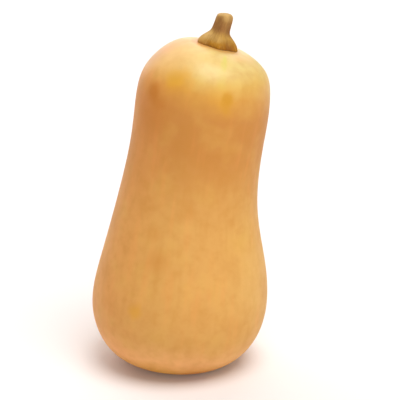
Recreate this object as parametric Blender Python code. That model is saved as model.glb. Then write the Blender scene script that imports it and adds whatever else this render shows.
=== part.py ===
"""A butternut squash: the fruit and its woody stem.

The fruit stands on its blossom end, on a small flat worn there by its own weight, and leans
towards +X, more so at the crown than at the base.  The outline is one smooth curve, turned
about a spine that bends in the XZ plane.  The stem flares onto the crown with a foot that
follows the skin.  The origin is on the ground, under the middle of the fruit's own box.
"""

import math

import bmesh
import bpy
import numpy as np
from mathutils import Matrix, Vector

# Fruit: the outline's guide points, each a distance along the spine, a radius on the side
# that the fruit leans to, and a radius on the far side.  The smooth outline runs a little
# inside them.  It is widest at the bulb and narrowest at the neck.
BULB_GUIDE = 0.0585
NECK_GUIDE = 0.0420
HEAD_GUIDE = 0.0425
FRUIT_LENGTH = 0.2135
OUTLINE = (
    (0.0000, 0.0000, 0.0000),
    (0.0000, 0.0295, 0.0340),
    (0.0125, 0.0485, 0.0495),
    (0.0370, BULB_GUIDE, 0.0590),
    (0.0685, 0.0555, 0.0530),
    (0.1060, 0.0435, 0.0455),
    (0.1440, NECK_GUIDE, 0.0405),
    (0.1705, HEAD_GUIDE, 0.0430),
    (0.1890, 0.0405, 0.0435),
    (0.2050, 0.0360, 0.0325),
    (FRUIT_LENGTH, 0.0165, 0.0215),
    (FRUIT_LENGTH, 0.0000, 0.0000),
)

# Spine: how far it leans from upright towards +X, and between which distances it bends.
BASE_LEAN = math.radians(5.0)
CROWN_LEAN = math.radians(15.0)
BEND_START = 0.073
BEND_END = 0.246
SPINE_STEPS = 400

# Base: how much of the rounded end is worn flat, and the dimple of the blossom scar.
WORN_DEPTH = 0.0018
SCAR_RADIUS = 0.0070
SCAR_DEPTH = 0.0014

# Stem: lean from upright, clearance under its foot, and guide points of its outline as
# heights above the crown and radii, from the foot, through the shaft, to the cut end.
STEM_LEAN = math.radians(13.0)
STEM_CLEARANCE = 0.0003
STEM_LENGTH = 0.0207
STEM_OUTLINE = (
    (-0.0060, 0.0118),
    (-0.0020, 0.0122),
    (0.0012, 0.0126),
    (0.0040, 0.0102),
    (0.0066, 0.0070),
    (0.0095, 0.0054),
    (0.0140, 0.0052),
    (0.0176, 0.0054),
    (0.0198, 0.0056),
    (STEM_LENGTH, 0.0034),
    (STEM_LENGTH, 0.0000),
)
RIDGES = 5
RIDGE_TURN = math.radians(-87.0)
RIDGE_DEPTH = 0.07

# Mesh fineness: sides round each ring, rings along the outline, and how tightly the rings
# crowd towards the outline's two ends.
FRUIT_SIDES = 56
FRUIT_RINGS = 52
FRUIT_CROWDING = 0.60
STEM_SIDES = 40
STEM_RINGS = 26
STEM_CROWDING = 0.30


def clear_scene():
    """Remove the objects that a new file starts with."""
    for thing in list(bpy.data.objects):
        bpy.data.objects.remove(thing, do_unlink=True)


def smooth_curve(guides, places):
    """Uniform cubic B-spline over guide points, read at the given places.

    A guide point is a distance and one or more radii, and a place is a number of guide points
    along the curve.  Past an end where the outline closes on its axis, the next guide is its
    neighbour mirrored across the axis; past an open end, the curve runs straight on.
    """
    points = np.array(guides)
    mirror = np.array([1.0] + [-1.0] * (points.shape[1] - 1))
    before = points[1] * mirror if points[0, 1] == 0.0 else 2 * points[0] - points[1]
    points = np.vstack([before, points, points[-2] * mirror])
    start = np.minimum(places.astype(int), len(guides) - 2)
    part = (places - start)[:, None]
    weights = (
        (1 - part) ** 3,
        3 * part**3 - 6 * part**2 + 4,
        -3 * part**3 + 3 * part**2 + 3 * part + 1,
        part**3,
    )
    return sum(weight * points[start + k] for k, weight in enumerate(weights)) / 6


def crowded(count, top, crowding):
    """Numbers from 0 to top, closer together towards both ends."""
    even = np.linspace(0.0, 1.0, count)
    return top * (even - crowding * np.sin(2 * math.pi * even) / (2 * math.pi))


def smooth_step(x):
    """0 up to x = 0, 1 from x = 1, and a smooth cubic in between."""
    x = np.clip(x, 0.0, 1.0)
    return x * x * (3.0 - 2.0 * x)


def lean_at(distance):
    """The spine's lean at a distance from the blossom end."""
    share = smooth_step((distance - BEND_START) / (BEND_END - BEND_START))
    return BASE_LEAN + (CROWN_LEAN - BASE_LEAN) * share


def spine_point(distance):
    """The spine's X and Z at some distances: its direction (sin lean, cos lean) added up.

    Past either end it runs straight on.
    """
    steps = np.linspace(0.0, FRUIT_LENGTH, SPINE_STEPS)
    lean = lean_at(steps)
    middle = (lean[1:] + lean[:-1]) / 2
    length = steps[1] - steps[0]
    along_x = np.concatenate([[0.0], np.cumsum(np.sin(middle)) * length])
    along_z = np.concatenate([[0.0], np.cumsum(np.cos(middle)) * length])
    inside = np.clip(distance, 0.0, FRUIT_LENGTH)
    past = distance - inside
    x = np.interp(inside, steps, along_x) + past * np.sin(lean_at(distance))
    z = np.interp(inside, steps, along_z) + past * np.cos(lean_at(distance))
    return x, z


def fruit_rings(growth=0.0):
    """Rings of points on the fruit's skin, or on a skin grown outwards all round.

    Each ring lies about the spine, square to it, and goes smoothly from the radius on the
    leaning side to the one on the far side.  The first and last rings are the poles.
    """
    places = crowded(FRUIT_RINGS, len(OUTLINE) - 1, FRUIT_CROWDING)
    outline = smooth_curve(OUTLINE, places)
    distance = outline[:, 0]
    middle_radius = (outline[:, 1] + outline[:, 2]) / 2
    side_swell = (outline[:, 1] - outline[:, 2]) / 2
    slope = np.gradient(np.stack([distance, middle_radius], axis=1), axis=0)
    slope /= np.linalg.norm(slope, axis=1)[:, None]
    dish = SCAR_DEPTH * (1.0 - smooth_step(middle_radius / SCAR_RADIUS))
    distance = distance + dish * (distance < BULB_GUIDE) - growth * slope[:, 1]
    middle_radius = middle_radius + growth * slope[:, 0]
    middle_radius[[0, -1]] = 0.0
    lean = lean_at(distance)
    centre_x, centre_z = spine_point(distance)
    turn = np.arange(FRUIT_SIDES) * 2 * math.pi / FRUIT_SIDES
    radius = middle_radius[:, None] + side_swell[:, None] * np.cos(turn)
    across = radius * np.cos(turn)
    x = centre_x[:, None] + across * np.cos(lean)[:, None]
    y = radius * np.sin(turn)
    z = centre_z[:, None] - across * np.sin(lean)[:, None]
    return np.stack([x, y, z], axis=-1)


def stem_rings():
    """Rings of points on the stem, about its own axis, which rises from its foot.

    Five rounded ridges run up the shaft and spread into the lobes of the foot.
    """
    places = crowded(STEM_RINGS, len(STEM_OUTLINE) - 1, STEM_CROWDING)
    outline = smooth_curve(STEM_OUTLINE, places)
    height = outline[:, 0]
    radius = outline[:, 1]
    turn = np.arange(STEM_SIDES) * 2 * math.pi / STEM_SIDES
    ridges = 1.0 + RIDGE_DEPTH * np.cos(RIDGES * (turn - RIDGE_TURN))
    x = radius[:, None] * np.cos(turn) * ridges
    y = radius[:, None] * np.sin(turn) * ridges
    z = np.repeat(height[:, None], STEM_SIDES, axis=1)
    return np.stack([x, y, z], axis=-1)


def skin(name, rings, placed, material=None):
    """One closed object: rings bridged in order, ending in a pole or a flat cap."""
    shell = bmesh.new()
    loops = []
    for ring in rings[1:-1]:
        corners = [shell.verts.new(placed @ Vector(point)) for point in ring]
        edges = [shell.edges.new((corners[k - 1], corners[k])) for k in range(len(corners))]
        loops.append(edges)
    for lower, upper in zip(loops, loops[1:]):
        bmesh.ops.bridge_loops(shell, edges=lower + upper)
    for edges, ring in ((loops[0], rings[0]), (loops[-1], rings[-1])):
        pole = shell.verts.new(placed @ Vector(ring.mean(axis=0)))
        for edge in edges:
            shell.faces.new((edge.verts[0], edge.verts[1], pole))
    bmesh.ops.recalc_face_normals(shell, faces=shell.faces)
    mesh = bpy.data.meshes.new(name)
    shell.to_mesh(mesh)
    shell.free()
    mesh.shade_smooth()
    thing = bpy.data.objects.new(name, mesh)
    bpy.context.collection.objects.link(thing)
    if material is not None:
        mesh.materials.append(material)
    return thing


def cut(thing, cutter):
    """Take the cutter's shape away from a thing, and keep the cutter as a hidden guide."""
    cutter.hide_render = True
    cutter.display_type = "WIRE"
    modifier = thing.modifiers.new(cutter.name, "BOOLEAN")
    modifier.operation = "DIFFERENCE"
    modifier.solver = "EXACT"
    modifier.object = cutter


def ground_slab():
    """A block whose top is the ground, wide enough to take the base's round end off."""
    width = 4 * BULB_GUIDE
    depth = BULB_GUIDE
    shell = bmesh.new()
    bmesh.ops.create_cube(shell, size=1.0)
    bmesh.ops.scale(shell, vec=(width, width, depth), verts=shell.verts)
    bmesh.ops.translate(shell, vec=(0.0, 0.0, -depth / 2), verts=shell.verts)
    mesh = bpy.data.meshes.new("ground_cut")
    shell.to_mesh(mesh)
    shell.free()
    slab = bpy.data.objects.new("ground_cut", mesh)
    bpy.context.collection.objects.link(slab)
    return slab


def plain_material(name, colour, roughness):
    """A Principled material of one colour."""
    material = bpy.data.materials.new(name)
    material.use_nodes = True
    shader = material.node_tree.nodes["Principled BSDF"]
    shader.inputs["Base Color"].default_value = (*colour, 1.0)
    shader.inputs["Roughness"].default_value = roughness
    shader.inputs["Metallic"].default_value = 0.0
    return material


def rind_material():
    """Buff, faintly waxy rind."""
    return plain_material("rind", (0.72, 0.40, 0.14), 0.45)


def stem_material():
    """Dry, olive-tan wood."""
    return plain_material("stem_wood", (0.36, 0.21, 0.06), 0.75)


def standing_place(rings):
    """Moves the fruit so that it stands on its worn base, middle over the origin."""
    lowest = rings.min(axis=(0, 1))
    highest = rings.max(axis=(0, 1))
    middle = (lowest[0] + highest[0]) / 2
    return Matrix.Translation((-middle, 0.0, -lowest[2] - WORN_DEPTH))


def make_fruit(rings, placed):
    """The fruit, in one piece, with its base worn flat."""
    fruit = skin("fruit", rings, placed, rind_material())
    cut(fruit, ground_slab())
    return fruit


def make_stem(placed):
    """The stem on the crown, its foot hollowed to sit a hair above the skin."""
    crown_x, crown_z = spine_point(FRUIT_LENGTH)
    crown = Matrix.Translation((float(crown_x), 0.0, float(crown_z)))
    upright = placed @ crown @ Matrix.Rotation(STEM_LEAN, 4, "Y")
    stem = skin("stem", stem_rings(), upright, stem_material())
    cut(stem, skin("crown_cut", fruit_rings(STEM_CLEARANCE), placed))
    return stem


def main():
    clear_scene()
    rings = fruit_rings()
    placed = standing_place(rings)
    make_fruit(rings, placed)
    make_stem(placed)


main()
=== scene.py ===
"""The looks of a butternut squash: its rind, its woody stem, and a plain studio stage.

Both pieces are surfaces worked out as whole arrays from two numbers: turn, the angle round the
piece from the side that the neck leans to, and place, a number of guide points along its
outline.  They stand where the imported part's own pieces stand.
"""

import math

import bpy
import numpy as np
from bpy.props import FloatProperty, FloatVectorProperty, PointerProperty
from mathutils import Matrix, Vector


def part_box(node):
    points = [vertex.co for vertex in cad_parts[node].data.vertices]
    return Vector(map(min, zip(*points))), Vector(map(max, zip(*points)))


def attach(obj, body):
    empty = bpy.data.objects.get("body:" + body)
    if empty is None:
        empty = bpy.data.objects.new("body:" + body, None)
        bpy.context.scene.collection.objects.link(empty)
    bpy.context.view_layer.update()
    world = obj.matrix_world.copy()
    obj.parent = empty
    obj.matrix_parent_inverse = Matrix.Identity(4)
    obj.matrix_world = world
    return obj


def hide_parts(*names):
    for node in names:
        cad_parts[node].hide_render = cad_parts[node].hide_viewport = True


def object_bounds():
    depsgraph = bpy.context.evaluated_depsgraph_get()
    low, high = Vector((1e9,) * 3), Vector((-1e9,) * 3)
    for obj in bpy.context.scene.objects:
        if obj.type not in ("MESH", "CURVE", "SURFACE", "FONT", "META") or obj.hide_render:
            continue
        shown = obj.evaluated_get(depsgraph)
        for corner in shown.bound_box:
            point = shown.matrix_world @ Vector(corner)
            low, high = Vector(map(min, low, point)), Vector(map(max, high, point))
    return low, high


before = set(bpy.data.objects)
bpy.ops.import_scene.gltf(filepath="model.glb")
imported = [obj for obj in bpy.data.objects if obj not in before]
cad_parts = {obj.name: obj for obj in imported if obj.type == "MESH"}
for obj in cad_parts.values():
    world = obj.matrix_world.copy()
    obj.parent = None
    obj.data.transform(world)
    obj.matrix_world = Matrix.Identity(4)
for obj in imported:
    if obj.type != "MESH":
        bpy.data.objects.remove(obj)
CAD_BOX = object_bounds()

bl_info = {
    "name": "Butternut Squash",
    "version": (1, 0, 0),
    "blender": (4, 5, 0),
    "location": "3D View > Sidebar > Squash",
    "description": "Grows a butternut squash and its stem, and sets a studio stage for them",
    "category": "Add Mesh",
}

# Fruit outline, in metres: each guide point is a distance along the spine, a radius on the
# side that the fruit leans to, and a radius on the far side
BULB_GUIDE = 0.0585
FRUIT_LENGTH = 0.2135
OUTLINE = (
    (0.0000, 0.0000, 0.0000),
    (0.0000, 0.0295, 0.0340),
    (0.0125, 0.0485, 0.0495),
    (0.0370, BULB_GUIDE, 0.0590),
    (0.0685, 0.0555, 0.0530),
    (0.1060, 0.0435, 0.0455),
    (0.1440, 0.0420, 0.0405),
    (0.1705, 0.0425, 0.0430),
    (0.1890, 0.0405, 0.0435),
    (0.2050, 0.0360, 0.0325),
    (FRUIT_LENGTH, 0.0165, 0.0215),
    (FRUIT_LENGTH, 0.0000, 0.0000),
)
CROWN_PLACE = len(OUTLINE) - 1

# Spine of the fruit
BASE_LEAN = math.radians(5.0)
CROWN_LEAN = math.radians(15.0)
BEND_START = 0.073
BEND_END = 0.246
SPINE_STEPS = 400

# Fineness of the searches along the outline and round it
OUTLINE_STEPS = 400
TURN_STEPS = 181
SHARE_STEPS = 1200
HALVINGS = 30

# Stem outline from under the foot: the same three numbers, its distances up from the crown
STEM_LENGTH = 0.0201
STEM_OUTLINE = (
    (0.0000, 0.0000, 0.0000),
    (0.0000, 0.0050, 0.0050),
    (0.0000, 0.0100, 0.0099),
    (0.0000, 0.0127, 0.0125),
    (0.0002, 0.0129, 0.0128),
    (0.0018, 0.0123, 0.0126),
    (0.0038, 0.0105, 0.0111),
    (0.0058, 0.0082, 0.0089),
    (0.0078, 0.0058, 0.0067),
    (0.0099, 0.0054, 0.0058),
    (0.0124, 0.0055, 0.0055),
    (0.0150, 0.0056, 0.0052),
    (0.0174, 0.0056, 0.0050),
    (0.0190, 0.0049, 0.0047),
    (0.0198, 0.0039, 0.0041),
    (STEM_LENGTH, 0.0028, 0.0028),
    (STEM_LENGTH, 0.0014, 0.0014),
    (STEM_LENGTH, 0.0000, 0.0000),
)
STEM_LEAN = math.radians(13.0)

# Ridges of the stem: how many, the turn of the first, their twist in radians to the metre, and
# the finer ridges' share, turn, and waver in radians to the metre
RIDGES = 5
RIDGE_TURN = math.radians(-87.0)
RIDGE_TWIST = 9.0
FINE_SHARE = 0.18
FINE_TURN = 0.3
FINE_WAVER = 220.0

# Stem, by height in metres: how narrow the foot is from front to back and how far up that
# goes, how far up the foot follows the rind, where the shaft starts to slant to the cut end
# and over what height, and where the end itself is rounded off
FOOT_OVAL = 0.18
OVAL_TOP = 0.009
SETTLE_TOP = 0.010
SLANT_START = 0.011
SLANT_RISE = 0.008
CUT_HEIGHT = 0.0188

# Radius inside which the stem's ridges die out, how much weaker they are on the cut end, and
# the radius of the pale cut face and width of its edge
SMOOTH_CORE = 0.0030
CUT_SMOOTHING = 0.6
CUT_FACE = 0.0052
CUT_FACE_EDGE = 0.001

# Gap between the rind and the stem's foot
FOOT_CLEARANCE = 0.0001

# Darker rind round the stem, partly its own tint and partly painted contact shade under the foot:
# from the foot's edge out to where it ends, and its strength; and how much paler the cut face is
FOOT_REACH = 0.0125
HALO_REACH = 0.0172
HALO_STRENGTH = 0.62
CUT_PALENESS = 0.5

# Slow swells of the fruit: waves round it, share of the radius, angle that the wave starts
# from, and angle that it turns through from end to end; and the shares of the fruit's length
# over which they rise from the base and fade to the crown
SWELLS = (
    (2, 0.0040, 1.1, 2.0),
    (3, 0.0030, -0.6, 3.5),
    (5, 0.0015, 2.2, -2.5),
)
SWELL_RISE = 0.12
SWELL_FADE = 0.10

# Creases round the stem, by radius: where they start, over what width they deepen, and where
# they begin to fade and over what width; and how far round they are turned, in radians
CREASE_START = 0.0130
CREASE_RISE = 0.006
CREASE_FADE_START = 0.021
CREASE_FADE = 0.021
CREASE_TURN = 0.5

# Corky button in the middle of the blossom scar: its height, flat top and sloping edge
BUTTON_HEIGHT = 0.0009
BUTTON_TOP = 0.0022
BUTTON_EDGE = 0.0018

# Width of the rounded edge where the fruit is pressed flat on the ground
PRESSED_EDGE = 0.0006

# Sizes of the patterns in the materials: patches to the metre for the rind and the worn wood,
# and stretches of the pattern across and along the grain for streaks and fibres
RIND_CLOUDS = 38.0
RIND_HUES = 62.0
RIND_MOTTLES = 170.0
RIND_PORES = 1100.0
WOOD_PATCHES = 240.0
RIND_STREAKS = (7.0, 7.0, 1.3)
WOOD_FIBRES = (7.0, 7.0, 1.6)
WOOD_THREADS = (20.0, 20.0, 2.2)

# Length of each piece in its grain, counted in its own radii
RIND_GRAIN = 4.0
STEM_GRAIN = 3.0

# Soft lights: the setting that holds the strength, then the angle down from upright, the turn
# from +X and the width of the light, in degrees
LIGHTS = (
    ("overhead", 19.0, 305.0, 40.0),
    ("front", 60.0, 300.0, 70.0),
    ("back", 58.0, 105.0, 75.0),
)

# What the camera aims at: metres past the part's middle towards +X, and share of its height
AIM_ASIDE = 0.0130
AIM_SHARE = 0.472

# Brightness of the world where the camera sees it
BACKDROP = 1.2

# Bands of colour along each piece, up from its lower end: share of its length and colour
RIND_BANDS = (
    # The first band darkens the blossom end and the edge where the fruit meets the floor: partly the
    # end's own colour, partly painted contact shade
    (0.00, "head"),
    (0.025, "head"),
    (0.08, "base"),
    (0.15, "bulb"),
    (0.50, "bulb"),
    (0.72, "neck"),
    (0.83, "neck"),
    (0.89, "head"),
    (0.93, "shoulder"),
    (0.965, "crown"),
    (1.00, "crown"),
)
STEM_BANDS = (
    (0.00, "rim"),
    (0.13, "rim"),
    (0.22, "foot"),
    (0.34, "foot"),
    (0.52, "shaft"),
    (0.74, "shaft"),
    (0.92, "tip"),
    (1.00, "tip"),
)

# Layers of pattern over the bands: the pattern, its value where the layer begins and where it
# is full, the part of the piece that it is on, its strength and its colour
RIND_LAYERS = (
    # First row: the left side, away from the key light, is made pinker: painted reflected light
    ("side", -0.20, -0.95, "everywhere", 0.42, "blush_and_painted_light"),
    ("side", 0.35, 1.00, "below_crown", 0.34, "straw"),
    ("hues", 0.45, 0.75, "everywhere", 0.26, "speck_and_shade"),
    ("hues", 0.55, 0.25, "everywhere", 0.30, "straw"),
    ("mottles", 0.35, 0.80, "everywhere", 0.26, "speck_and_shade"),
    ("streaks", 0.50, 0.75, "between_ends", 0.20, "speck_and_shade"),
    ("streaks", 0.50, 0.25, "between_ends", 0.16, "blush_and_painted_light"),
)
STEM_LAYERS = (
    ("sunk", 0.60, -1.10, "everywhere", 0.42, "groove"),
    ("threads", 0.50, 0.72, "everywhere", 0.34, "groove"),
    ("threads", 0.50, 0.28, "everywhere", 0.26, "worn"),
)

# How far the edges wander with the patterns: the bands' by a share of the piece's length, the
# rind's marks by metres, and the stem's marks by radii
RIND_BAND_WANDER = 0.07
STEM_BAND_WANDER = 0.16
RIND_MARK_WANDER = 0.006
STEM_MARK_WANDER = 0.6

# Share of a mark's reach inside which it is at full strength
RIND_MARK_CORE = 0.15
STEM_MARK_CORE = 0.10

# Marks on the rind: share of the fruit's length, turn in degrees, reach, how many times
# narrower they are across, strength and colour
RIND_MARKS = (
    (0.911, 238.0, 0.0125, 0.9, 0.50, "gold"),
    (0.915, 236.5, 0.0085, 0.8, 1.00, "gold"),
    (0.917, 236.0, 0.0050, 0.8, 0.25, "ochre"),
    (0.894, 279.0, 0.0130, 1.0, 0.42, "gold"),
    (0.868, 287.0, 0.0110, 1.2, 0.28, "gold"),
    (0.890, 287.0, 0.0066, 1.1, 0.75, "ochre"),
    (0.868, 286.0, 0.0080, 1.6, 0.40, "ochre"),
    (0.800, 220.0, 0.0240, 1.0, 0.36, "rust_and_contact_shade"),
    (0.856, 218.5, 0.0082, 0.9, 0.66, "rust_and_contact_shade"),
    (0.836, 227.0, 0.0070, 0.7, 0.30, "rust_and_contact_shade"),
    (0.236, 240.0, 0.0075, 1.0, 0.50, "gold"),
    (0.393, 251.0, 0.0110, 1.0, 0.25, "rust_and_contact_shade"),
    (0.470, 244.0, 0.0080, 1.0, 0.18, "rust_and_contact_shade"),
    (0.445, 318.0, 0.0100, 1.0, 0.30, "straw"),
    (0.988, 284.0, 0.0052, 2.6, 0.70, "lime"),
    (0.976, 281.0, 0.0060, 2.4, 0.45, "lime"),
    (0.940, 279.0, 0.0090, 1.8, 0.22, "lime"),
    (0.990, 312.0, 0.0070, 1.0, 0.22, "blush_and_painted_light"),
    (0.960, 228.0, 0.0220, 1.0, 0.42, "peach"),
    # The next two marks darken the crown's far left rim: painted shade
    (0.940, 179.0, 0.0205, 1.0, 0.72, "speck_and_shade"),
    (0.985, 188.0, 0.0150, 1.0, 0.50, "blush_and_painted_light"),
    (0.990, 333.0, 0.0110, 1.0, 0.35, "head"),
    (0.875, 327.0, 0.0240, 1.0, 0.18, "speck_and_shade"),
    (0.315, 328.0, 0.0320, 1.0, 0.22, "peach"),
    (0.460, 190.0, 0.0200, 1.0, 0.28, "speck_and_shade"),
    (0.640, 186.0, 0.0300, 1.0, 0.40, "speck_and_shade"),
    # A reddish line along the bottom edge where the fruit meets the floor: painted contact shade
    (0.024, 289.0, 0.0140, 1.0, 0.50, "rust_and_contact_shade"),
    (0.350, 95.0, 0.0420, 1.0, 0.34, "peach"),
    (0.905, 58.0, 0.0075, 1.0, 0.65, "gold"),
    (0.872, 122.0, 0.0105, 1.2, 0.50, "gold"),
    (0.780, 45.0, 0.0130, 1.0, 0.26, "rust_and_contact_shade"),
    (0.640, 104.0, 0.0110, 1.0, 0.22, "rust_and_contact_shade"),
    (0.420, 52.0, 0.0120, 1.0, 0.26, "rust_and_contact_shade"),
    (0.250, 132.0, 0.0080, 1.0, 0.50, "gold"),
)

# Marks on the stem: share of its length, turn, reach in radii, strength and colour
STEM_MARKS = (
    (0.62, 250.0, 0.90, 0.70, "bark"),
    (0.42, 340.0, 0.60, 0.50, "bark"),
    (0.06, 200.0, 0.80, 0.60, "worn"),
    (0.66, 205.0, 0.60, 0.50, "bark"),
    (0.58, 334.0, 0.70, 0.70, "bark"),
    (0.90, 240.0, 0.55, 0.45, "bark"),
    (0.98, 300.0, 0.80, 0.95, "worn"),
    (0.60, 284.0, 0.40, 0.25, "bark"),
    (0.30, 212.0, 0.65, 0.85, "worn"),
    (0.28, 262.0, 0.50, 0.30, "worn"),
    (0.12, 322.0, 0.70, 0.60, "rim"),
    # The next two marks darken the foot's edge where it meets the rind: partly its own colour,
    # partly painted contact shade
    (0.05, 310.0, 0.85, 0.80, "stain"),
    (0.00, 240.0, 0.70, 0.15, "stain"),
    (0.90, 320.0, 0.50, 0.40, "worn"),
)

# Rings and sides of each mesh, and how tightly the rings crowd towards the two ends
FRUIT_GRID = (320, 288)
STEM_GRID = (220, 200)
CROWDING = 0.35


# ---------------------------------------------------------------------------
# Curves and surfaces


def smooth_step(x):
    """0 up to x = 0, 1 from x = 1, and 3 x^2 - 2 x^3 in between."""
    x = np.clip(x, 0.0, 1.0)
    return x * x * (3.0 - 2.0 * x)


def guide_curve(guides, place):
    """Uniform cubic B-spline over guide points, closed across the axis at both ends.

    Between two guide points, four neighbours are weighed by the cubic B-spline's basis; the
    neighbour past an end is the mirror of the last but one, its radii made negative.
    """
    points = np.array(guides)
    flip = np.array([1.0, -1.0, -1.0])
    points = np.vstack([points[1] * flip, points, points[-2] * flip])
    start = np.minimum(place.astype(int), len(guides) - 2)
    part = place - start
    weights = (
        (1 - part) ** 3,
        3 * part**3 - 6 * part**2 + 4,
        -3 * part**3 + 3 * part**2 + 3 * part + 1,
        part**3,
    )
    total = sum(weight[..., None] * points[start + k] for k, weight in enumerate(weights))
    return np.moveaxis(total / 6, -1, 0)


def outline(guides, turn, place):
    """Distance and radius: the two sides' radii weighed by (1 + cos turn) and (1 - cos turn)."""
    distance, leaning, far = guide_curve(guides, place)
    radius = (leaning + far) / 2 + (leaning - far) / 2 * np.cos(turn)
    return distance, radius


def lean_at(distance):
    """The spine's lean: a smooth step from the base's lean to the crown's."""
    share = smooth_step((distance - BEND_START) / (BEND_END - BEND_START))
    return BASE_LEAN + (CROWN_LEAN - BASE_LEAN) * share


def spine_point(distance):
    """The spine's X and Z: the sum of its direction (sin lean, cos lean) up to a distance."""
    steps = np.linspace(0.0, FRUIT_LENGTH, SPINE_STEPS)
    lean = lean_at(steps)
    middle = (lean[1:] + lean[:-1]) / 2
    along_x = np.concatenate([[0.0], np.cumsum(np.sin(middle)) * steps[1]])
    along_z = np.concatenate([[0.0], np.cumsum(np.cos(middle)) * steps[1]])
    return np.interp(distance, steps, along_x), np.interp(distance, steps, along_z)


def swept_point(turn, distance, radius):
    """A point at a radius and turn about the spine, in the plane square to the spine."""
    lean = lean_at(distance)
    centre_x, centre_z = spine_point(distance)
    across = radius * np.cos(turn)
    x = centre_x + across * np.cos(lean)
    y = radius * np.sin(turn)
    z = centre_z - across * np.sin(lean)
    return np.stack([x, y, z], axis=-1)


def standing_shift():
    """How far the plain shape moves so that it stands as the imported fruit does."""
    places = np.linspace(0.0, CROWN_PLACE, OUTLINE_STEPS)
    turns = np.linspace(0.0, 2 * math.pi, TURN_STEPS)
    place, turn = np.meshgrid(places, turns, indexing="ij")
    points = swept_point(turn, *outline(OUTLINE, turn, place))
    low, high = points.min(axis=(0, 1)), points.max(axis=(0, 1))
    fruit_low, fruit_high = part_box("fruit")
    over = (fruit_low.x + fruit_high.x) / 2 - (low[0] + high[0]) / 2
    return np.array([over, 0.0, fruit_high.z - high[2]])


SHIFT = standing_shift()


def blossom_scar(distance, radius, rind):
    """How far the skin is drawn in along the spine at the blossom end.

    A shallow dish, less a small corky button in its middle; each is 1 less a smooth step of
    the radius, times its depth.
    """
    dish = rind.scar_depth * (1.0 - smooth_step(radius / rind.scar_radius))
    button = BUTTON_HEIGHT * (1.0 - smooth_step((radius - BUTTON_TOP) / BUTTON_EDGE))
    return (dish - button) * (distance < BULB_GUIDE)


def slow_swells(turn, distance):
    """Share by which the radius differs from the outline's: a few long waves round the fruit.

    Each is its share of the radius times cos(waves * turn + start + twist * share of length),
    and all fade out at both ends.
    """
    share = distance / FRUIT_LENGTH
    total = sum(
        depth * np.cos(waves * turn + start + twist * share) for waves, depth, start, twist in SWELLS
    )
    return total * smooth_step(share / SWELL_RISE) * smooth_step((1.0 - share) / SWELL_FADE)


def crown_creases(turn, distance, radius, rind):
    """Depth of the faint creases that run out from the stem, two to each of its ridges.

    A raised cosine of the turn, cubed, times a smooth step up outside the stem's foot and a
    longer one down over the shoulder.
    """
    wave = 0.5 + 0.5 * np.cos(2 * RIDGES * (turn - RIDGE_TURN) + CREASE_TURN)
    deepen = smooth_step((radius - CREASE_START) / CREASE_RISE)
    fade = 1.0 - smooth_step((radius - CREASE_FADE_START) / CREASE_FADE)
    return rind.crease_depth * wave**3 * deepen * fade * (distance > FRUIT_LENGTH / 2)


def fruit_skin(turn, place, rind):
    """The rind: the outline turned about the spine, its radius varied by the swells.

    The end is drawn in at the scar, and what would be below the ground is pressed flat by
    z -> (z + sqrt(z^2 + e^2)) / 2, which rounds the edge of the flat over a width of e.
    """
    distance, radius = outline(OUTLINE, turn, place)
    crease = crown_creases(turn, distance, radius, rind)
    drawn = distance + blossom_scar(distance, radius, rind) - crease
    radius = radius * (1.0 + rind.unevenness * slow_swells(turn, distance))
    points = swept_point(turn, drawn, radius) + SHIFT
    z = points[..., 2]
    points[..., 2] = (z + np.sqrt(z * z + PRESSED_EDGE**2)) / 2
    return points


def rind_point(share, turn, rind):
    """The rind's point at a share of the fruit's length and a turn in degrees."""
    places = np.linspace(0.0, CROWN_PLACE, SHARE_STEPS)
    distance = outline(OUTLINE, 0.0, places)[0]
    place = np.interp(share * FRUIT_LENGTH, distance, places)
    return fruit_skin(np.array([math.radians(turn)]), np.array([place]), rind)[0]


def crown_place(turn, radius):
    """The place near the crown where the outline has a given radius, found by halving.

    It is searched for in the last three guide points' stretch, where the radius only falls.
    """
    low = np.full(turn.shape, CROWN_PLACE - 3.0)
    high = np.full(turn.shape, float(CROWN_PLACE))
    for _ in range(HALVINGS):
        middle = (low + high) / 2
        too_wide = outline(OUTLINE, turn, middle)[1] > radius
        low = np.where(too_wide, middle, low)
        high = np.where(too_wide, high, middle)
    return (low + high) / 2


def stem_ridges(turn, height):
    """Ridge pattern round the stem, from -1 in the grooves to 1 on the ridges.

    A cosine gives the five ridges, which twist up the stem; a finer one, three times as fast
    and wavering with height, roughens them.
    """
    main = np.cos(RIDGES * (turn - RIDGE_TURN - RIDGE_TWIST * height))
    waver = 2.0 * np.sin(FINE_WAVER * height)
    fine = np.cos(3 * RIDGES * (turn + FINE_TURN) + waver)
    return (1.0 - FINE_SHARE) * main + FINE_SHARE * fine


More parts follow.
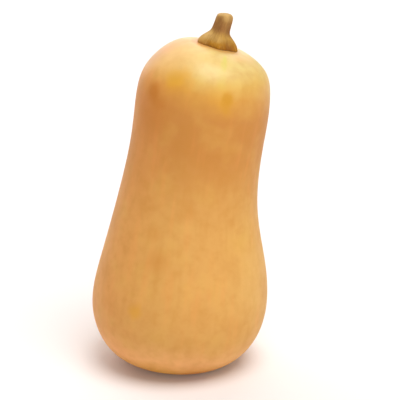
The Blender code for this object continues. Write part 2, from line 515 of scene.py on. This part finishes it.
def stem_skin(turn, place, stem, rind):
    """The stem: an outline turned about its own axis, ridged, its foot laid on the rind.

    Near the foot a point's base is the rind's own point at the same turn and radius; further
    up it is the flat disc square to the stem's axis.  The height is added along that axis, more
    on the leaning side as the cut end nears, so that the end is level.
    """
    height, radius = outline(STEM_OUTLINE, turn, place)
    end = smooth_step((height - CUT_HEIGHT) / (STEM_LENGTH - CUT_HEIGHT))
    depth = stem.ridge_depth * (1.0 - CUT_SMOOTHING * end) * smooth_step(radius / SMOOTH_CORE)
    narrow = FOOT_OVAL * np.sin(turn) ** 2 * (1.0 - smooth_step(height / OVAL_TOP))
    radius = radius * (1.0 + depth * stem_ridges(turn, height) - narrow)
    crown_x, crown_z = spine_point(FRUIT_LENGTH)
    crown = np.array([crown_x, 0.0, crown_z]) + SHIFT
    side = np.array([math.cos(STEM_LEAN), 0.0, -math.sin(STEM_LEAN)])
    axis = np.array([math.sin(STEM_LEAN), 0.0, math.cos(STEM_LEAN)])
    flat = crown + radius[..., None] * (
        np.cos(turn)[..., None] * side + np.sin(turn)[..., None] * np.array([0.0, 1.0, 0.0])
    )
    skin = fruit_skin(turn, crown_place(turn, radius), rind)
    settle = (1.0 - smooth_step(height / SETTLE_TOP))[..., None]
    slant = smooth_step((height - SLANT_START) / SLANT_RISE)
    level = stem.cut_slope * radius * np.cos(turn) * slant
    lift = height + FOOT_CLEARANCE + level
    base = skin * settle + flat * (1.0 - settle)
    return base + lift[..., None] * axis


# ---------------------------------------------------------------------------
# Meshes


def closed_mesh(name, points, attributes):
    """A mesh over a grid of rings by sides, its first and last ring drawn to one point each.

    An attribute has a name, and one number or one vector for each point of the grid.
    """
    rings, sides = points.shape[:2]

    def corners(values):
        """One value for each corner of the mesh, in order."""
        inner = values[1:-1].reshape(-1, *values.shape[2:])
        return np.concatenate([values[0, :1], inner, values[-1, :1]])

    first = 1 + sides * np.arange(rings - 3)[:, None]
    here = np.arange(sides)
    after = (here + 1) % sides
    quads = np.stack([first + here, first + after, first + sides + after, first + sides + here], -1)
    last_ring = 1 + sides * (rings - 3)
    tip = 1 + sides * (rings - 2)
    bottom = np.stack([np.zeros_like(here), 1 + after, 1 + here], -1)
    top = np.stack([np.full_like(here, tip), last_ring + here, last_ring + after], -1)
    faces = quads.reshape(-1, 4).tolist() + bottom.tolist() + top.tolist()
    mesh = bpy.data.meshes.new(name)
    mesh.from_pydata(corners(points), [], faces)
    for attribute, values in attributes.items():
        kind = "FLOAT_VECTOR" if values.ndim == 3 else "FLOAT"
        layer = mesh.attributes.new(attribute, kind, "POINT")
        field = "vector" if values.ndim == 3 else "value"
        layer.data.foreach_set(field, corners(values).astype(np.float32).ravel())
    mesh.shade_smooth()
    mesh.validate()
    piece = bpy.data.objects.new(name, mesh)
    bpy.context.collection.objects.link(piece)
    return piece


def surface_grid(size, top):
    """Places and turns of a grid of rings by sides; the rings crowd towards both ends.

    A place is top * (x - crowding * sin(2 pi x) / (2 pi)), where x goes evenly from 0 to 1.
    """
    rings, sides = size
    even = np.linspace(0.0, 1.0, rings)
    place = top * (even - CROWDING * np.sin(2 * math.pi * even) / (2 * math.pi))
    turn = np.arange(sides) * 2 * math.pi / sides
    return np.meshgrid(place, turn, indexing="ij")


def grain_of(turn, length):
    """A vector for patterns along the grain: (cos turn, sin turn) across, and a length along."""
    return np.stack([np.cos(turn), np.sin(turn), length], axis=-1)


# ---------------------------------------------------------------------------
# Materials


class Term:
    """A socket in arithmetic: an expression adds the Math nodes that work it out."""

    def __init__(self, paint, socket):
        self.paint = paint
        self.socket = socket

    def _math(self, operation, first, second):
        return self.paint.node("Math", {"operation": operation}, {0: first, 1: second})

    def __add__(self, other):
        return self._math("ADD", self, other)

    def __sub__(self, other):
        return self._math("SUBTRACT", self, other)

    def __rsub__(self, other):
        return self._math("SUBTRACT", other, self)

    def __mul__(self, other):
        return self._math("MULTIPLY", self, other)

    __radd__ = __add__
    __rmul__ = __mul__


class Paint:
    """A material being built, one node at a time."""

    def __init__(self, name):
        self.material = bpy.data.materials.new(name)
        self.material.use_nodes = True
        self.tree = self.material.node_tree
        self.tree.nodes.clear()

    def node(self, kind, settings=None, inputs=None, output=0):
        """Add a node: its type, then its settings, then its sockets' values or links."""
        node = self.tree.nodes.new("ShaderNode" + kind)
        for name, value in (settings or {}).items():
            if name == "stops":
                self._set_stops(node.color_ramp.elements, value)
            else:
                setattr(node, name, value)
        for name, value in (inputs or {}).items():
            if isinstance(value, Term):
                self.tree.links.new(value.socket, node.inputs[name])
            else:
                node.inputs[name].default_value = value
        return Term(self, node.outputs[output]) if node.outputs else None

    @staticmethod
    def _set_stops(elements, stops):
        while len(elements) < len(stops):
            elements.new(1.0)
        for element, (position, colour) in zip(elements, stops):
            element.position = position
            element.color = colour

    def attribute(self, name, field="Fac"):
        """One of the piece's own attributes, as a number, or as a vector."""
        return self.node("Attribute", {"attribute_name": name}, output=field)

    def object_place(self):
        """The piece's own Object coordinates."""
        return self.node("TexCoord", output="Object")

    def ease(self, value, low, high):
        """0 below low, 1 above high, smooth in between; high may be under low."""
        settings = {"interpolation_type": "SMOOTHSTEP"}
        return self.node("MapRange", settings, {"Value": value, "From Min": low, "From Max": high})

    def noise(self, vector, scale, detail, roughness):
        """Cloudy noise about 0.5: its patches to the unit, finer layers, and their strength."""
        inputs = {"Vector": vector, "Scale": scale, "Detail": detail, "Roughness": roughness}
        return self.node("TexNoise", None, inputs)

    def stretch(self, vector, scales):
        """A vector with each part multiplied by its own number."""
        return self.node("VectorMath", {"operation": "MULTIPLY"}, {0: vector, 1: scales})

    def away(self, vector, centre, scales=(1.0, 1.0, 1.0)):
        """Distance from a centre, counted longer or shorter along each axis."""
        off = self.node("VectorMath", {"operation": "SUBTRACT"}, {0: vector, 1: centre})
        return self.node("VectorMath", {"operation": "LENGTH"}, {0: self.stretch(off, scales)}, 1)

    def bands(self, value, bands, colours):
        """Bands of colour that run into one another as a value goes from 0 to 1."""
        stops = [(share, (*getattr(colours, name), 1.0)) for share, name in bands]
        return self.node("ValToRGB", {"stops": stops}, {"Fac": value})

    def blend(self, share, under, over):
        """One of the piece's colours laid over what is there, by a share from 0 to 1."""
        inputs = {0: share, 6: under, 7: (*over, 1.0)}
        return self.node("Mix", {"data_type": "RGBA"}, inputs, 2)

    def layer(self, rows, colour, colours, patterns, parts):
        """Lay patterns over a colour, each by how far its value is from begin to full."""
        for pattern, begin, full, part, strength, name in rows:
            share = self.ease(patterns[pattern], begin, full) * parts[part] * strength
            colour = self.blend(share, colour, getattr(colours, name))
        return colour

    def finish(self, settings, bump=None):
        """The Principled shader with these sockets, and a bump: its height and its depth."""
        if bump is not None:
            height, depth = bump
            inputs = {"Height": height, "Distance": depth, "Strength": 1.0}
            settings = {**settings, "Normal": self.node("Bump", None, inputs)}
        shader = self.node("BsdfPrincipled", None, settings)
        self.node("OutputMaterial", None, {"Surface": shader})
        return self.material


def rind_marking(paint, colour, rind, place, ragged):
    """The rind's marks, some of them painted shade, and a darker ring round the stem, partly its own
    tint and partly painted contact shade; their edges are ragged.
    """
    for share, turn, reach, slim, strength, name in RIND_MARKS:
        away = paint.away(place, rind_point(share, turn, rind), (slim, 1.0, 1.0)) + ragged
        spot = paint.ease(away, reach, RIND_MARK_CORE * reach) * strength
        colour = paint.blend(spot, colour, getattr(rind, name))
    # Darker ring round the stem's foot: partly its own tint, partly painted contact shade
    away = paint.away(place, rind_point(1.0, 0.0, rind)) + ragged
    ring = paint.ease(away, HALO_REACH, FOOT_REACH) * HALO_STRENGTH
    return paint.blend(ring, colour, rind.foot_tint_and_shade)


def rind_material(rind):
    """Waxy rind: bands of colour from end to end, pinker on the left side and yellower on the right;
    the pinker left side, away from the key light, is painted reflected light.

    Clouds, streaks and marks lie over them.  Only the crown has a thin glossy coat.
    """
    paint = Paint("squash_rind")
    grain = paint.attribute("grain", "Vector")
    place = paint.object_place()
    clouds = paint.noise(place, RIND_CLOUDS, 4.0, 0.6)
    hues = paint.noise(place, RIND_HUES, 3.0, 0.5)
    mottles = paint.noise(place, RIND_MOTTLES, 3.0, 0.5)
    streaks = paint.noise(paint.stretch(grain, RIND_STREAKS), 1.0, 2.0, 0.5)
    pores = paint.noise(place, RIND_PORES, 2.0, 0.5)
    side = paint.node("SeparateXYZ", None, {"Vector": grain})
    along = paint.attribute("along") + (clouds - 0.5) * RIND_BAND_WANDER
    ragged = (mottles - 0.5) * RIND_MARK_WANDER + (hues - 0.5) * RIND_MARK_WANDER

    patterns = {"side": side, "hues": hues, "mottles": mottles, "streaks": streaks}
    parts = {
        "everywhere": 1.0,
        "below_crown": paint.ease(along, 0.85, 0.45),
        "between_ends": paint.ease(along, 0.98, 0.80) * paint.ease(along, 0.04, 0.15),
    }
    colour = paint.bands(along, RIND_BANDS, rind)
    colour = paint.layer(RIND_LAYERS, colour, rind, patterns, parts)
    colour = rind_marking(paint, colour, rind, place, ragged)

    height = clouds * 0.5 + mottles * 0.4 + pores * 0.15
    settings = {
        "Base Color": colour,
        "Roughness": paint.ease(mottles, 0.2, 0.8) * 0.10 + 0.45,
        "Specular IOR Level": 0.20,
        "Coat Weight": paint.ease(paint.attribute("along"), 0.80, 0.95) * 0.45,
        "Coat Roughness": 0.34,
        "Subsurface Weight": 0.06,
        "Subsurface Radius": (0.010, 0.004, 0.0015),
        "Subsurface Scale": 1.0,
    }
    return paint.finish(settings, (height, rind.pore_depth))


def stem_marking(paint, colour, stem, grain, ragged):
    """Brown, pale and darker patches placed on the grain; the darker ones at the foot's edge are
    partly its own tint and partly painted contact shade.  Their edges are ragged.
    """
    for share, turn, reach, strength, name in STEM_MARKS:
        turn = math.radians(turn)
        centre = (math.cos(turn), math.sin(turn), STEM_GRAIN * share)
        away = paint.away(grain, centre) + ragged
        spot = paint.ease(away, reach, STEM_MARK_CORE * reach) * strength
        colour = paint.blend(spot, colour, getattr(stem, name))
    return colour


def stem_material(stem):
    """Dry woody stem: bands of colour up it, brown grooves and patches, and a pale cut end."""
    paint = Paint("squash_stem")
    grain = paint.attribute("grain", "Vector")
    fibres = paint.noise(paint.stretch(grain, WOOD_FIBRES), 1.0, 4.0, 0.6)
    threads = paint.noise(paint.stretch(grain, WOOD_THREADS), 1.0, 2.0, 0.6)
    worn = paint.noise(paint.object_place(), WOOD_PATCHES, 3.0, 0.6)

    sunk = paint.attribute("ridge") * 0.7 + (fibres - 0.5) * 3.4 + (worn - 0.5) * 2.0
    height = paint.attribute("height") + (worn - 0.5) * STEM_BAND_WANDER

    colour = paint.bands(height, STEM_BANDS, stem)
    colour = stem_marking(paint, colour, stem, grain, (worn - 0.5) * STEM_MARK_WANDER)
    patterns = {"sunk": sunk, "threads": threads}
    colour = paint.layer(STEM_LAYERS, colour, stem, patterns, {"everywhere": 1.0})
    colour = paint.blend(paint.attribute("end") * CUT_PALENESS, colour, stem.worn)

    bump = fibres * 0.6 + worn * 0.4 - threads * 0.35
    settings = {"Base Color": colour, "Roughness": 0.72, "Specular IOR Level": 0.22}
    return paint.finish(settings, (bump, stem.fibre_depth))


def floor_material(stage):
    """Matt, even floor that gives off a little light of its own."""
    paint = Paint("studio_floor")
    settings = {
        "Base Color": (*stage.floor_colour, 1.0),
        "Roughness": 0.9,
        "Specular IOR Level": 0.1,
        "Emission Color": (*stage.glow_colour, 1.0),
        "Emission Strength": stage.floor_glow,
    }
    return paint.finish(settings)


# ---------------------------------------------------------------------------
# Settings


def colour_setting(name, description, default):
    """A colour that a user can change."""
    return FloatVectorProperty(
        name=name, description=description, default=default, subtype="COLOR", min=0.0, max=1.0
    )


def small_size(name, description, default):
    """A small length that a user can change."""
    return FloatProperty(
        name=name, description=description, default=default, min=0.0, unit="LENGTH", precision=5
    )


class SquashRind(bpy.types.PropertyGroup):
    """Relief and colours of the rind."""

    unevenness: FloatProperty(
        name="Unevenness", description="Strength of the slow swells round the fruit", default=1.0,
        min=0.0, max=3.0,
    )
    scar_radius: small_size("Scar radius", "Reach of the dish at the blossom end", 0.0080)
    scar_depth: small_size("Scar depth", "Depth of the dish at the blossom end", 0.0014)
    crease_depth: small_size("Crease depth", "Depth of the creases round the stem", 0.00008)
    pore_depth: small_size("Pore depth", "Depth of the fine relief of the rind", 0.00008)
    crown: colour_setting("Crown", "Rind round the stem", (0.785, 0.585, 0.207))
    shoulder: colour_setting("Shoulder", "Rind where the crown turns down", (0.770, 0.495, 0.122))
    head: colour_setting("Head", "Rind of the widest part of the neck", (0.705, 0.347, 0.063))
    neck: colour_setting("Neck", "Rind of the neck", (0.618, 0.260, 0.055))
    bulb: colour_setting("Bulb", "Rind of the bulb", (0.727, 0.380, 0.101))
    base: colour_setting("Base", "Rind at the blossom end", (0.88, 0.460, 0.170))
    # Blush: pinker streaks and patches, and painted light: reflected light on the left side and
    # shade on the crown's far left rim
    blush_and_painted_light: colour_setting("Blush", "Pinker side, streaks and patches", (0.92, 0.365, 0.100))
    straw: colour_setting("Straw", "Yellower side and clouds", (0.76, 0.440, 0.098))
    # Specks: darker clouds, mottles and streaks, and painted shade on the crown's far left rim
    speck_and_shade: colour_setting("Specks", "Darker clouds, mottles and streaks", (0.60, 0.255, 0.040))
    gold: colour_setting("Gold marks", "Deep yellow spots", (0.75, 0.360, 0.025))
    ochre: colour_setting("Ochre marks", "Brownish yellow spots", (0.64, 0.290, 0.012))
    # Rust: orange-brown blotches, and the painted contact shade along the bottom edge
    rust_and_contact_shade: colour_setting("Rust marks", "Orange-brown blotches", (0.58, 0.185, 0.014))
    peach: colour_setting("Pale marks", "Paler patches", (0.86, 0.560, 0.200))
    lime: colour_setting("Green marks", "Unripe streak below the stem", (0.70, 0.600, 0.100))
    # Foot ring: partly its own tint, partly painted contact shade round the stem's foot
    foot_tint_and_shade: colour_setting("Halo", "Rind stained round the stem's foot", (0.55, 0.220, 0.032))


class SquashStem(bpy.types.PropertyGroup):
    """Relief and colours of the stem."""

    ridge_depth: FloatProperty(
        name="Ridge depth", description="Depth of the ridges, as a share of the radius",
        default=0.055, min=0.0, max=0.3,
    )
    cut_slope: FloatProperty(
        name="Cut slope", description="Rise of the cut end across the stem, as a share of its width",
        default=0.17, min=0.0, max=0.5,
    )
    fibre_depth: small_size("Fibre depth", "Depth of the fibres", 0.00030)
    rim: colour_setting("Rim", "Edge of the foot on the rind", (0.48, 0.215, 0.011))
    foot: colour_setting("Foot", "Flared foot", (0.51, 0.280, 0.052))
    shaft: colour_setting("Shaft", "Narrow part of the stem", (0.40, 0.195, 0.052))
    tip: colour_setting("Tip", "Just under the cut end", (0.50, 0.280, 0.080))
    worn: colour_setting("Worn wood", "Pale patches and the cut end", (0.64, 0.390, 0.125))
    bark: colour_setting("Bark", "Reddish brown patches", (0.29, 0.115, 0.033))
    # Foot edge: partly its own tint, partly painted contact shade where the foot meets the rind
    stain: colour_setting("Stain", "Darker stretches of the rim", (0.26, 0.080, 0.002))
    groove: colour_setting("Grooves", "Grooves between the ridges", (0.25, 0.12, 0.03))


class SquashStage(bpy.types.PropertyGroup):
    """The camera, the lights and the floor."""

    camera_tilt: FloatProperty(
        name="Camera tilt", description="How far the camera looks down", default=math.radians(18.0),
        subtype="ANGLE",
    )
    camera_distance: FloatProperty(
        name="Camera distance", description="From the camera to what it aims at", default=1.1,
        unit="LENGTH",
    )
    view_width: FloatProperty(
        name="View width", description="Width of the view where the camera aims", default=0.256,
        unit="LENGTH",
    )
    floor_width: FloatProperty(
        name="Floor width", description="Side of the square floor", default=40.0, unit="LENGTH",
    )
    floor_colour: colour_setting("Floor", "Colour of the floor", (0.820, 0.770, 0.745))
    glow_colour: colour_setting("Glow", "Colour of the floor's own light", (1.0, 0.93, 0.91))
    floor_glow: FloatProperty(
        name="Floor glow", description="Strength of the floor's own light", default=0.06, min=0.0,
    )
    overhead: FloatProperty(
        name="Overhead light", description="Strength of the light overhead", default=2.3, min=0.0,
    )
    front: FloatProperty(
        name="Front light", description="Strength of the light from the front right", default=0.72,
        min=0.0,
    )
    back: FloatProperty(
        name="Back light", description="Strength of the light from behind", default=2.0, min=0.0,
    )
    fill: FloatProperty(
        name="Fill light", description="Strength of the even light all round", default=0.20, min=0.0,
    )


# ---------------------------------------------------------------------------
# Operators


def finish_piece(piece, material, node):
    """Give a piece its material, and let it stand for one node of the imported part."""
    piece.data.materials.append(material)
    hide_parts(node)
    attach(piece, "root")


class SQUASH_OT_grow_fruit(bpy.types.Operator):
    """Grow the fruit: its rind, crown, creases and blossom scar"""

    bl_idname = "squash.grow_fruit"
    bl_label = "Grow Fruit"

    def execute(self, context):
        place, turn = surface_grid(FRUIT_GRID, CROWN_PLACE)
        rind = context.scene.squash_rind
        along = outline(OUTLINE, turn, place)[0] / FRUIT_LENGTH
        attributes = {"along": along, "grain": grain_of(turn, RIND_GRAIN * along)}
        piece = closed_mesh("squash_fruit", fruit_skin(turn, place, rind), attributes)
        finish_piece(piece, rind_material(rind), "fruit")
        return {"FINISHED"}


class SQUASH_OT_grow_stem(bpy.types.Operator):
    """Grow the stem: its flared foot, ridged shaft and cut end"""

    bl_idname = "squash.grow_stem"
    bl_label = "Grow Stem"

    def execute(self, context):
        place, turn = surface_grid(STEM_GRID, len(STEM_OUTLINE) - 1)
        stem, rind = context.scene.squash_stem, context.scene.squash_rind
        height, radius = outline(STEM_OUTLINE, turn, place)
        high = smooth_step((height - CUT_HEIGHT) / (STEM_LENGTH - CUT_HEIGHT))
        attributes = {
            "height": height / STEM_LENGTH,
            "ridge": stem_ridges(turn, height),
            "end": high * smooth_step((CUT_FACE - radius) / CUT_FACE_EDGE),
            "grain": grain_of(turn, STEM_GRAIN * height / STEM_LENGTH),
        }
        piece = closed_mesh("squash_stem", stem_skin(turn, place, stem, rind), attributes)
        finish_piece(piece, stem_material(stem), "stem")
        return {"FINISHED"}


class SQUASH_OT_set_stage(bpy.types.Operator):
    """Set the stage: a pale floor, soft overhead light and the camera"""

    bl_idname = "squash.set_stage"
    bl_label = "Set Stage"

    def execute(self, context):
        stage = context.scene.squash_stage
        self.add_floor(stage)
        self.add_lights(stage)
        self.add_camera(context.scene, stage)
        self.set_world(context.scene, stage)
        context.scene.view_settings.view_transform = "Standard"
        return {"FINISHED"}

    @staticmethod
    def add_floor(stage):
        """A square of floor under the part."""
        half = stage.floor_width / 2
        mesh = bpy.data.meshes.new("floor")
        corners = [(-half, -half, 0.0), (half, -half, 0.0), (half, half, 0.0), (-half, half, 0.0)]
        mesh.from_pydata(corners, [], [(0, 1, 2, 3)])
        mesh.materials.append(floor_material(stage))
        floor = bpy.data.objects.new("floor", mesh)
        bpy.context.collection.objects.link(floor)

    @staticmethod
    def add_lights(stage):
        """Three wide soft lights, each at an angle from upright and a turn from +X."""
        for setting, down, turn, width in LIGHTS:
            lamp = bpy.data.lights.new(setting + "_light", "SUN")
            lamp.energy = getattr(stage, setting)
            lamp.angle = math.radians(width)
            down, turn = math.radians(down), math.radians(turn)
            level = math.sin(down)
            towards = Vector((level * math.cos(turn), level * math.sin(turn), math.cos(down)))
            light = bpy.data.objects.new(setting + "_light", lamp)
            light.rotation_euler = towards.to_track_quat("Z", "Y").to_euler()
            bpy.context.collection.objects.link(light)

    @staticmethod
    def add_camera(scene, stage):
        """A camera that looks along +Y and down, at about the middle of the part."""
        low, high = CAD_BOX
        aim = Vector(((low.x + high.x) / 2 + AIM_ASIDE, 0.0, AIM_SHARE * high.z))
        tilt = stage.camera_tilt
        back = Vector((0.0, -math.cos(tilt), math.sin(tilt)))
        lens = bpy.data.cameras.new("camera")
        lens.sensor_width = 36.0
        lens.lens = lens.sensor_width * stage.camera_distance / stage.view_width
        camera = bpy.data.objects.new("camera", lens)
        camera.location = aim + back * stage.camera_distance
        camera.rotation_euler = back.to_track_quat("Z", "Y").to_euler()
        bpy.context.collection.objects.link(camera)
        scene.camera = camera

    @staticmethod
    def set_world(scene, stage):
        """White to look at, and a weak even fill light on everything else."""
        world = bpy.data.worlds.new("studio")
        world.use_nodes = True
        tree = world.node_tree
        background = tree.nodes["Background"]
        seen = tree.nodes.new("ShaderNodeLightPath")
        strength = tree.nodes.new("ShaderNodeMapRange")
        strength.inputs["To Min"].default_value = stage.fill
        strength.inputs["To Max"].default_value = BACKDROP
        tree.links.new(seen.outputs["Is Camera Ray"], strength.inputs["Value"])
        tree.links.new(strength.outputs["Result"], background.inputs["Strength"])
        background.inputs["Color"].default_value = (1.0, 1.0, 1.0, 1.0)
        scene.world = world


class VIEW3D_PT_squash(bpy.types.Panel):
    """Lists the squash's pieces, the stage and their settings"""

    bl_label = "Butternut Squash"
    bl_idname = "VIEW3D_PT_squash"
    bl_space_type = "VIEW_3D"
    bl_region_type = "UI"
    bl_category = "Squash"

    def draw(self, context):
        scene = context.scene
        sections = (
            (SQUASH_OT_grow_fruit, scene.squash_rind),
            (SQUASH_OT_grow_stem, scene.squash_stem),
            (SQUASH_OT_set_stage, scene.squash_stage),
        )
        for operator, settings in sections:
            box = self.layout.box()
            box.operator(operator.bl_idname)
            for name in settings.__annotations__:
                box.prop(settings, name)


CLASSES = (
    SquashRind,
    SquashStem,
    SquashStage,
    SQUASH_OT_grow_fruit,
    SQUASH_OT_grow_stem,
    SQUASH_OT_set_stage,
    VIEW3D_PT_squash,
)


def register():
    """Add the classes and the scene's settings."""
    for cls in CLASSES:
        bpy.utils.register_class(cls)
    bpy.types.Scene.squash_rind = PointerProperty(type=SquashRind)
    bpy.types.Scene.squash_stem = PointerProperty(type=SquashStem)
    bpy.types.Scene.squash_stage = PointerProperty(type=SquashStage)


def unregister():
    """Take the scene's settings and the classes away."""
    del bpy.types.Scene.squash_stage
    del bpy.types.Scene.squash_stem
    del bpy.types.Scene.squash_rind
    for cls in reversed(CLASSES):
        bpy.utils.unregister_class(cls)


def write_sizes():
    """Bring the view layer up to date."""
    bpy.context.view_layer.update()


def main():
    register()
    bpy.ops.squash.grow_fruit()
    bpy.ops.squash.grow_stem()
    bpy.ops.squash.set_stage()
    write_sizes()


if __name__ == "__main__":
    main()
